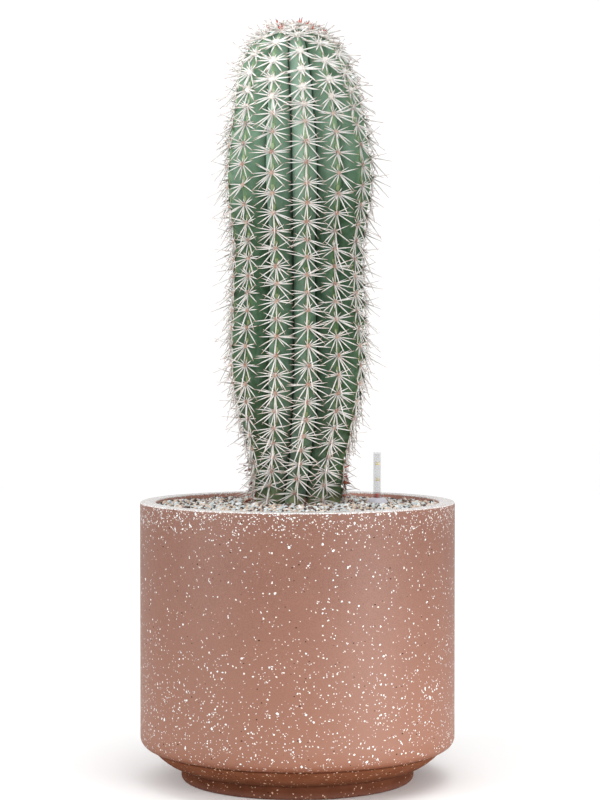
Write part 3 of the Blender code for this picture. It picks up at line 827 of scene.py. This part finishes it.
def stone_places(draw):
    """Where the loose stones lie on the gravel bed: their middles and sizes."""
    graph = bpy.context.evaluated_depsgraph_get()
    surface = BVHTree.FromObject(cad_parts["substrate"], graph)
    angles, reaches = foot_reach()
    found = []
    rows = math.ceil(POT_INSIDE / (STONE_SPACING * math.sqrt(0.75)))
    columns = math.ceil(POT_INSIDE / STONE_SPACING)
    for row in range(-rows, rows + 1):
        for column in range(-columns, columns + 1):
            x = (column + row % 2 / 2 + draw.uniform(-0.35, 0.35)) * STONE_SPACING
            y = (row * math.sqrt(0.75) + draw.uniform(-0.35, 0.35)) * STONE_SPACING
            size = draw.uniform(0, 1) ** 1.8 * (STONE_SIZE[1] - STONE_SIZE[0]) + STONE_SIZE[0]
            radius = math.hypot(x, y)
            from_stem = math.hypot(x - STEM_AXIS[0], y - STEM_AXIS[1])
            angle = math.atan2(y - STEM_AXIS[1], x - STEM_AXIS[0])
            from_gauge = math.hypot(x - GAUGE_AXIS[0], y - GAUGE_AXIS[1])
            if radius > POT_INSIDE - 0.35 * size or from_gauge < COLLAR_RADIUS + 0.3 * size:
                continue
            if from_stem < np.interp(angle, angles, reaches, period=FULL_TURN) + 0.2 * size:
                continue
            hit = surface.ray_cast(Vector((x, y, POT_HEIGHT + 0.03)), Vector((0, 0, -1)))[0]
            level = gravel_height(radius)
            if hit is not None:
                level = max(level - 2 * MM, hit.z)
            # The stones are small in front of the gauge, so that its collar shows, and they lie
            # low along the back wall. They lie higher along the rest of the wall.
            sunk = draw.uniform(-0.25, 0.2)
            if from_gauge < 30 * MM and y < GAUGE_AXIS[1]:
                size = min(size, 3.4 * MM)
                sunk = -0.15
            if radius > POT_INSIDE - 30 * MM:
                sunk += -0.25 if y > 60 * MM else 0.35
            found.append((x, y, level + size * sunk, size))
    return found


def loose_stones(materials):
    draw = random.Random(SEED)
    patterns = [rough_ball(draw, 1, 0.5, 0.74) for _ in range(STONE_FORMS)]
    lots = {kind: [[] for _ in patterns] for kind in STONE_SHARES}
    for x, y, z, size in stone_places(draw):
        turn = draw.uniform(0, LOOSE_TURN)
        turn = Matrix.Rotation(turn, 4, (draw.gauss(0, 1), draw.gauss(0, 1), 1))
        form = (size * draw.uniform(0.85, 1.25), size * draw.uniform(0.8, 1), size * 0.8, 1)
        kind = draw.choices(list(STONE_SHARES), STONE_SHARES.values())[0]
        lot = lots[kind][draw.randrange(STONE_FORMS)]
        lot.append(Matrix.Translation((x, y, z)) @ turn @ Matrix.Diagonal(form))
    for kind, parts in lots.items():
        points = np.concatenate([placed(form[0], lot) for form, lot in zip(patterns, parts)])
        shades = np.random.default_rng(SEED).random(len(points))
        mesh = repeated(f"{kind}_stones", points, patterns[0][1], {"shade": shades}, False)
        add_piece(mesh, materials[kind])


# The cactus


def cardon_skin(material):
    """The ribbed skin, a ball whose rows of points are moved to the column's form."""
    fine = np.arange(-2 * ROWS_PER_STEP, 60 * ROWS_PER_STEP) / ROWS_PER_STEP
    fine = fine[fine < np.interp(-NEWEST_AREOLE, -OUTLINE_RADIUS, OUTLINE_GROWTH)]
    radii, heights = outline_at(fine)
    foot_radii, foot_depths = np.array(FOOT_ROWS).T
    crown_radii, crown_rises = np.array(CROWN_ROWS).T
    top = heights[-1]
    rise = POT_HEIGHT + APEX_HEIGHT - top
    foot_heights = heights[0] - FOOT_REACH * foot_depths
    radii = np.concatenate([radii[0] * foot_radii, radii, crown_radii * MM])
    heights = np.concatenate([foot_heights, heights, top + rise * crown_rises])
    last = np.full(len(CROWN_ROWS), OUTLINE_GROWTH[-1])
    growths = np.concatenate([np.ones(len(FOOT_ROWS)), fine, last])
    corners = RIBS * CORNERS_PER_RIB
    levels = len(radii)
    shape = bmesh.new()
    bmesh.ops.create_uvsphere(shape, u_segments=corners, v_segments=levels + 1, radius=1)
    ball = np.array([vertex.co[:] for vertex in shape.verts])
    level = np.round((np.pi - np.arccos(np.clip(ball[:, 2], -1, 1))) / np.pi * (levels + 1))
    level = level.astype(int)
    corner = np.round(np.arctan2(ball[:, 1], ball[:, 0]) / FULL_TURN * corners).astype(int)
    row = np.clip(level - 1, 0, levels - 1)
    found = skin_points(corner % corners, radii[row], heights[row], growths[row])
    points, across, above, wax_and_painted_light = found
    points[level == 0] = (*STEM_AXIS, POT_HEIGHT - FOOT_DEPTH)
    points[level > levels] = (LEAN[-1], STEM_AXIS[1], POT_HEIGHT + APEX_HEIGHT)
    for vertex, point in zip(shape.verts, points):
        vertex.co = point
    bmesh.ops.recalc_face_normals(shape, faces=shape.faces)
    mesh = finished_mesh(shape, "cardon_skin", 180)
    for name, values in (("across", across), ("above_areole", above), ("wax_and_painted_light", wax_and_painted_light)):
        add_value(mesh, name, values)
    piece = add_piece(mesh, material)
    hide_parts("cardon_stem")


def spine_pattern():
    """A thin five-sided spine of unit length, with its root at the origin and its tip at +Z."""
    shape = bmesh.new()
    bmesh.ops.create_cone(shape, cap_ends=True, segments=5, radius1=1, radius2=0.3, depth=1)
    sides = [edge for edge in shape.edges if abs(edge.verts[0].co.z - edge.verts[1].co.z) > 0.5]
    bmesh.ops.subdivide_edges(shape, edges=sides, cuts=1, use_grid_fill=False)
    bmesh.ops.translate(shape, verts=shape.verts, vec=(0, 0, 0.5))
    middle = [vertex for vertex in shape.verts if 0.3 < vertex.co.z < 0.7]
    bmesh.ops.scale(shape, verts=middle, vec=(1.5, 1.5, 1))
    return pattern_of(shape)


def spine_mesh(name, pattern, spines):
    """Each spine is its root, direction, bend, length, radius and shade."""
    points, faces = pattern
    roots, directions, bends, lengths, radii, shades = (
        np.array(values) for values in zip(*spines)
    )
    level = np.where(np.abs(directions[:, 2:]) < 0.9, (0.0, 0.0, 1.0), (1.0, 0.0, 0.0))
    first = np.cross(directions, level)
    first /= np.linalg.norm(first, axis=1, keepdims=True)
    second = np.cross(directions, first)
    along = points[:, 2]
    made = roots[:, None] + directions[:, None] * (along[None, :, None] * lengths[:, None, None])
    made += bends[:, None] * (along**2)[None, :, None]
    made += first[:, None] * (points[:, 0][None, :, None] * radii[:, None, None])
    made += second[:, None] * (points[:, 1][None, :, None] * radii[:, None, None])
    every = np.broadcast_to(along, (len(spines), len(along)))
    # The pattern's faces are turned over here, so the faces of the spines point inwards.
    return repeated(name, made, faces[:, ::-1], {"along": every, "shade": shades})


def freshness(height):
    """How new the spines are at a height above the rim: 1 in the crown."""
    return clipped((height - 380 * MM) / (80 * MM))


def spine_direction(areole, angle, lift):
    """The direction along the skin at an angle from straight up the rib, and the same one lifted
    off the skin."""
    _, outward, upward, sideways, _ = areole
    flat = upward * math.cos(angle) + sideways * math.sin(angle)
    return flat, (flat * math.cos(lift) + outward * math.sin(lift)).normalized()


def fan_spines(draw, areole, out):
    """The spines that lie nearly along the skin round one areole."""
    place, outward, upward, _, radius = areole
    crown = clipped((radius - 18 * MM) / (40 * MM))
    height = place.z - POT_HEIGHT
    for clock, length, thickness in SPINE_FAN:
        if draw.random() < (0.14 if crown > 0.3 else 0.4):
            continue
        angle = math.radians(clock + draw.uniform(-7, 7))
        lift = math.radians(draw.uniform(4, 17) + (14 if abs(clock) < 60 else 0))
        flat, direction = spine_direction(areole, angle, lift)
        reach = length * MM * (0.8 + 0.2 * crown) * draw.uniform(0.82, 1.14)
        bend = (outward * draw.uniform(-0.02, 0.05) + upward * draw.uniform(-0.03, 0.02)) * reach
        root = place + flat * 1.1 * MM - outward * 0.3 * MM
        shade = draw.random() * (0.9 if height < 200 * MM else 0.6) - freshness(height)
        width = SPINE_RADIUS * thickness * (1 + 0.35 * freshness(height))
        out.append((root, direction, bend, reach, width, shade))


def central_spines(draw, areole, out):
    """The stouter spines that stand out of the middle of one areole. Low down, the longest hang
    over two or three areoles below."""
    place, outward, _, _, radius = areole
    crown = clipped((radius - 22 * MM) / (40 * MM))
    if crown < 0.15:
        return
    height = place.z - POT_HEIGHT
    low = clipped((190 * MM - height) / (70 * MM))
    main = draw.uniform(22, 31) + low * draw.uniform(0, 16)
    hang = draw.uniform(18, 50) * (1 - low) + draw.uniform(9, 24) * low
    fan = [(math.radians(hang), 180, main)]
    fan.append((math.radians(draw.uniform(30, 60)), draw.choice((-1, 1)) * 125, 27))
    if draw.random() < 0.55:
        fan.append((math.radians(draw.uniform(40, 75)), draw.choice((-1, 1)) * 62, 22))
    for lift, clock, length in fan:
        angle = math.radians(clock + draw.uniform(-15, 15))
        flat, direction = spine_direction(areole, angle, lift)
        reach = length * MM * (0.75 + 0.25 * crown) * draw.uniform(0.85, 1.12)
        bend = (flat * draw.uniform(-0.02, 0.05) + outward * draw.uniform(-0.04, 0.04)) * reach
        root = place - outward * 0.6 * MM
        width = SPINE_RADIUS * (1.2 if length == main else 1) * (1 + 0.35 * freshness(height))
        shade = draw.random() * 0.8 - freshness(height)
        out.append((root, direction, bend, reach, width, shade))


def mature_spines(places, material):
    draw = random.Random(SEED + 1)
    pattern = spine_pattern()
    fans = []
    centrals = []
    for areole in places:
        fan_spines(draw, areole, fans)
        central_spines(draw, areole, centrals)
    for name, spines in (("radial_spines", fans), ("central_spines", centrals)):
        add_piece(spine_mesh(name, pattern, spines), material)


def young_spines(places, material):
    """Short red spines that have just come through the wool round the apex, in pairs."""
    draw = random.Random(SEED + 2)
    spines = []
    for place, outward, upward, sideways, radius in places:
        if radius > YOUNG_RADIUS or draw.random() < 0.3:
            continue
        for side in (-1, 1):
            lean = sideways * side * draw.uniform(0.1, 0.5) + upward * draw.uniform(-0.6, 0.2)
            direction = (Vector((0, 0, 0.7)) + outward * 0.8 + lean).normalized()
            reach = draw.uniform(6, 10) * MM
            root = place + sideways * side * 1.3 * MM
            spines.append((root, direction, outward * 0, reach, 0.95 * MM, draw.random() * 0.3))
    mesh = spine_mesh("young_spines", spine_pattern(), spines)
    add_piece(mesh, material)


def wool_size(radius, height):
    """Half the width, height and thickness of an areole's cushion, which is large when new."""
    new = clipped((height - POT_HEIGHT - 425 * MM) / (30 * MM))
    new -= 0.5 * clipped((46 * MM - radius) / (30 * MM))
    return (2.5 + 2.3 * new) * MM, (2.8 + 1.9 * new) * MM, (1.7 + 1.2 * new) * MM


def areole_age(place):
    """0 for the crown's white areoles, 1 for the oldest at the gravel."""
    return clipped((POT_HEIGHT + 460 * MM - place.z) / (80 * MM))


def areole_wool(places, material):
    draw = random.Random(SEED + 3)
    points, faces = rough_ball(draw, 2, 1, 0.75)
    matrices = []
    ages = []
    for place, outward, upward, sideways, radius in places:
        width, height, thickness = wool_size(radius, place.z)
        axes = Matrix((sideways, upward, outward)).transposed().to_4x4()
        form = Matrix.Diagonal((width, height, thickness, 1))
        turn = Matrix.Rotation(draw.choice((0, math.pi)), 4, "Z")
        matrices.append(Matrix.Translation(place) @ axes @ form @ turn)
        ages.append(areole_age(place) * draw.uniform(0.75, 1.1))
    apex = Vector((LEAN[-1], STEM_AXIS[1], POT_HEIGHT + APEX_HEIGHT - 1.5 * MM))
    for number in range(INNER_TUFTS + OUTER_TUFTS):
        inner = number < INNER_TUFTS
        away = (4 if inner else 11) * MM
        turn = number * FULL_TURN / (INNER_TUFTS if inner else OUTER_TUFTS)
        around = Vector((away * math.cos(turn), away * math.sin(turn), -0.15 * away))
        tuft = Matrix.Diagonal((4.5 * MM, 4.5 * MM, 2.4 * MM, 1))
        matrices.append(Matrix.Translation(apex + around) @ tuft)
        ages.append(0)
    mesh = repeated("areole_wool", placed(points, matrices), faces, {"age": ages})
    add_piece(mesh, material)


def wool_hairs(places, material):
    """Fine hairs that stand out of the new wool, so that its outline is soft."""
    draw = random.Random(SEED + 4)
    hairs = []
    for place, outward, upward, sideways, radius in places:
        if radius > 70 * MM or place.z < POT_HEIGHT + 400 * MM:
            continue
        width, height, thickness = wool_size(radius, place.z)
        for _ in range(HAIRS_PER_AREOLE):
            angle = draw.uniform(0, FULL_TURN)
            spread = math.sqrt(draw.random())
            flat = sideways * math.cos(angle) * width + upward * math.sin(angle) * height
            root = place + flat * spread * 0.85 + outward * thickness * 0.3
            direction = (flat.normalized() * spread + outward * draw.uniform(0.3, 1)).normalized()
            reach = draw.uniform(2, 4.5) * MM
            hairs.append((root, direction, upward * 0, reach, HAIR_RADIUS, 0))
    mesh = spine_mesh("wool_hairs", spine_pattern(), hairs)
    add_value(mesh, "age", np.zeros(len(mesh.vertices)))
    add_piece(mesh, material)


def husk_pattern():
    """A curled, pointed flake, about one unit long."""
    shape = bmesh.new()
    bmesh.ops.create_grid(shape, x_segments=3, y_segments=2, size=0.5)
    for vertex in shape.verts:
        x, y, _ = vertex.co
        narrowing = 1 - 0.75 * (x + 0.5)
        vertex.co = (x, 0.5 * y * narrowing, 0.35 * x * x - 0.5 * y * y)
    bmesh.ops.solidify(shape, geom=shape.faces[:], thickness=0.05)
    bmesh.ops.recalc_face_normals(shape, faces=shape.faces)
    return pattern_of(shape)


def dry_flakes(material):
    """Curled husks that cling low on the column's left and right, and lie round its foot."""
    draw = random.Random(SEED + 5)
    points, faces = husk_pattern()
    matrices = []
    for number in range(FLAKES):
        side = (-1, 1)[number % 2]
        if number < CLINGING_FLAKES:
            angle = side * math.radians(draw.uniform(66, 112))
            height = POT_HEIGHT + draw.uniform(2, 46) * MM
            beyond = draw.uniform(1, 8) * MM
        else:
            angle = draw.uniform(0, FULL_TURN)
            height = POT_HEIGHT + draw.uniform(-2, 3) * MM
            beyond = draw.uniform(2, 12) * MM
        radius, _ = outline_at(np.interp(height, OUTLINE_HEIGHT, OUTLINE_GROWTH))
        reach = radius + beyond
        x = STEM_AXIS[0] + reach * math.sin(angle)
        y = STEM_AXIS[1] - reach * math.cos(angle)
        turn = draw.uniform(0, LOOSE_TURN)
        turn = Matrix.Rotation(turn, 4, [draw.gauss(0, 1) for _ in range(3)])
        size = Matrix.Diagonal((*[draw.uniform(5, 9) * MM] * 3, 1))
        matrices.append(Matrix.Translation((x, y, height)) @ turn @ size)
    shades = [draw.random() for _ in matrices]
    mesh = repeated("dry_flakes", placed(points, matrices), faces, {"shade": shades})
    add_piece(mesh, material)


# Water gauge


def display_tube(tube, collar):
    spigot = CASING_RADIUS - CASING_WALL - GAP
    spigot_end = COLLAR_BOTTOM - SPIGOT_LENGTH
    edge_top = COLLAR_BOTTOM + COLLAR_EDGE
    top_round = 0.7 * MM
    profile = [(0, DISPLAY_TOP)]
    profile += arc((DISPLAY_RADIUS - top_round, DISPLAY_TOP - top_round), top_round, 90, 0, 4)
    for angle in np.linspace(0, math.pi / 2, 13):
        radius = DISPLAY_RADIUS + (COLLAR_RADIUS - DISPLAY_RADIUS) * math.sin(angle)
        profile.append((radius, edge_top + (COLLAR_TOP - edge_top) * math.cos(angle)))
    profile += arc((COLLAR_RADIUS - 0.4 * MM, COLLAR_BOTTOM + 0.4 * MM), 0.4 * MM, 0, -90, 3)
    profile += [(spigot, COLLAR_BOTTOM), (spigot, spigot_end), (DISPLAY_BORE, spigot_end)]
    profile += [(DISPLAY_BORE, DISPLAY_TOP - DISPLAY_CAP), (0, DISPLAY_TOP - DISPLAY_CAP)]
    shape = turned(profile, GAUGE_STEPS, GAUGE_AXIS)
    for face in shape.faces:
        middle = face.calc_center_median()
        reach = math.hypot(middle.x - GAUGE_AXIS[0], middle.y - GAUGE_AXIS[1])
        face.material_index = int(reach > DISPLAY_RADIUS and middle.z < COLLAR_TOP)
    mesh = finished_mesh(shape, "display_tube")
    piece = add_piece(mesh, tube)
    mesh.materials.append(collar)
    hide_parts("gauge_display")


def indicator(material):
    """The float's round tip, with softened edges."""
    profile = [(0, TIP_BOTTOM)]
    profile += arc((TIP_RADIUS - 0.3 * MM, TIP_BOTTOM + 0.3 * MM), 0.3 * MM, -90, 0, 3)
    profile += arc((TIP_RADIUS - 0.9 * MM, TIP_TOP - 0.9 * MM), 0.9 * MM, 0, 90, 5)
    profile.append((0, TIP_TOP))
    mesh = finished_mesh(turned(profile, GAUGE_STEPS, GAUGE_AXIS), "indicator")
    piece = add_piece(mesh, material, FLOAT)
    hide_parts("gauge_tip")


def curved_bar(shape, left, right, bottom, top):
    """A thin printed bar on the tube's front, between two widths and two heights."""
    inner = DISPLAY_RADIUS - 0.02 * MM
    outer = DISPLAY_RADIUS + MARK_THICKNESS
    first = left / DISPLAY_RADIUS
    x, y = math.sin(first), -math.cos(first)
    corners = [
        shape.verts.new((GAUGE_AXIS[0] + radius * x, GAUGE_AXIS[1] + radius * y, height))
        for radius, height in ((inner, bottom), (outer, bottom), (outer, top), (inner, top))
    ]
    face = shape.faces.new(corners)
    bmesh.ops.spin(
        shape,
        geom=[face] + face.edges[:] + corners,
        cent=(*GAUGE_AXIS, 0),
        axis=(0, 0, 1),
        angle=(right - left) / DISPLAY_RADIUS,
        steps=max(2, round((right - left) / (0.5 * MM))),
    )


def level_marks(material):
    """The two levels between which the float's tip stands, each a bar with two short ticks."""
    shape = bmesh.new()
    for height in MARK_HEIGHTS:
        curved_bar(shape, -2.1 * MM, 2.5 * MM, height - 0.5 * MM, height + 0.5 * MM)
        for left in (-1.7 * MM, 0.7 * MM):
            curved_bar(shape, left, left + 1.3 * MM, height + 1.2 * MM, height + 2.4 * MM)
    bmesh.ops.recalc_face_normals(shape, faces=shape.faces)
    mesh = finished_mesh(shape, "level_marks")
    add_piece(mesh, material)


# Studio


def studio_paint(_):
    """Matt white paint, which makes the ground look like plain paper."""
    return {"Base Color": "#FCFCFC", "Roughness": 0.9}


def studio_floor():
    """A pale floor that curves up behind the planter into a backdrop."""
    shape = bmesh.new()
    curve = arc((FLOOR_BACK, FLOOR_CURVE), FLOOR_CURVE, -90, 0, 10)
    corners = [(-FLOOR_SIZE / 2, 0), *curve, (FLOOR_BACK + FLOOR_CURVE, BACKDROP_TOP)]
    line = [shape.verts.new((-FLOOR_SIZE / 2, y, z)) for y, z in corners]
    edges = [shape.edges.new(pair) for pair in zip(line, line[1:])]
    drawn = bmesh.ops.extrude_edge_only(shape, edges=edges)
    moved = [part for part in drawn["geom"] if isinstance(part, bmesh.types.BMVert)]
    bmesh.ops.translate(shape, verts=moved, vec=(FLOOR_SIZE, 0, 0))
    bmesh.ops.recalc_face_normals(shape, faces=shape.faces)
    mesh = finished_mesh(shape, "studio_floor")
    mesh.materials.append(made_material("matt_studio_paint", studio_paint))
    floor = bpy.data.objects.new("studio_floor", mesh)
    bpy.context.scene.collection.objects.link(floor)


def soft_light(name, place, target, size, power, spread=180):
    light = bpy.data.lights.new(name, "AREA")
    light.shape = "RECTANGLE"
    light.size, light.size_y = size
    light.energy = power
    light.spread = math.radians(spread)
    lamp = bpy.data.objects.new(name, light)
    lamp.location = place
    lamp.rotation_euler = (Vector(target) - Vector(place)).to_track_quat("-Z", "Y").to_euler()
    bpy.context.scene.collection.objects.link(lamp)


def studio_light():
    world = bpy.data.worlds.new("soft_room")
    world.use_nodes = True
    sky = world.node_tree.nodes["Background"].inputs
    sky["Color"].default_value = (1, 1, 1, 1)
    sky["Strength"].default_value = ROOM_LIGHT
    bpy.context.scene.world = world
    soft_light("left_softbox", (-1.9, -1.0, 0.8), (0, 0, 0.4), (1.2, 1.6), 32)
    soft_light("right_softbox", (0.95, -0.8, 0.14), (0, 0, 0.12), (0.6, 0.3), 1.8, 60)
    soft_light("front_softbox", (0.1, -2.7, 1.1), (0, 0, 0.3), (1.6, 1.2), 12)
    soft_light("top_softbox", (0.4, -0.5, 2.1), (0, 0, 0.3), (1.2, 1.2), 12)
    soft_light("backdrop_softbox", (0, 2, 2.6), (0, 4.2, 0.4), (4, 1.2), 52)


def camera():
    view = bpy.data.cameras.new("camera")
    view.sensor_width = 36
    view.lens = CAMERA_LENS
    seat = bpy.data.objects.new("camera", view)
    seat.location = CAMERA_PLACE
    seat.rotation_euler = (math.radians(90 - CAMERA_DIP), 0, 0)
    bpy.context.scene.collection.objects.link(seat)
    bpy.context.scene.camera = seat


def main():
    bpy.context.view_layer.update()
    bpy.context.scene.view_settings.view_transform = "Standard"
    ground = made_material("ground_terrazzo", ground_terrazzo)
    planter_shell(ground, made_material("underside_terrazzo_painted_shade", underside_terrazzo_painted_shade))
    kept_shape("substrate", made_material("mineral_fines", gravel_fines))
    minerals = (
        ("pumice", "#EDF1F2", "#BAC5C7", "#8C8883", 0.35, 0.9),
        ("zeolite", "#EDE1D5", "#B9A08B", "#7F6450", 0.4, 0.85),
        ("lava", "#76655C", "#362924", "#1C1411", 0.5, 0.9),
    )
    stones = {kind: made_material(f"broken_{kind}", stone, *looks) for kind, *looks in minerals}
    loose_stones(stones)
    cardon_skin(made_material("waxy_cactus_skin", cactus_skin))
    places = areoles()
    horn = made_material("spine_horn", spine_horn, "#B4937E", "#D2CFCB", "#AE9388", 0.7)
    mature_spines(places, horn)
    red_horn = ("#E2A079", "#DD5B3F", "#4A2620", 0.5)
    young_spines(places, made_material("young_spine_horn", spine_horn, *red_horn))
    wool = made_material("areole_wool", areole_felt)
    areole_wool(places, wool)
    wool_hairs(places, wool)
    dry_flakes(made_material("dry_husk", dry_husk))
    plastics = (
        ("greyed_clear_plastic", "#8F8F92", "#88888C", 0.2, 0.83),
        ("frosted_clear_plastic", "#E2E0EA", "#D3D0DC", 0.28, 0.2),
        ("red_plastic", "#F24A00", "#B4040A", 0.45),
        ("yellow_print", "#C6AC30", "#B89C24", 0.5),
        ("dark_casing_plastic", "#4A4A4C", "#3E3E40", 0.5),
        ("white_float_plastic", "#E8E6E0", "#DDDAD2", 0.45),
    )
    clear, frosted, red, yellow, dark, white = (
        made_material(name, moulded_plastic, *looks) for name, *looks in plastics
    )
    display_tube(clear, frosted)
    indicator(red)
    level_marks(yellow)
    kept_shape("gauge_casing", dark)
    kept_shape("gauge_float", white)
    studio_floor()
    studio_light()
    camera()
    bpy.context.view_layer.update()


main()
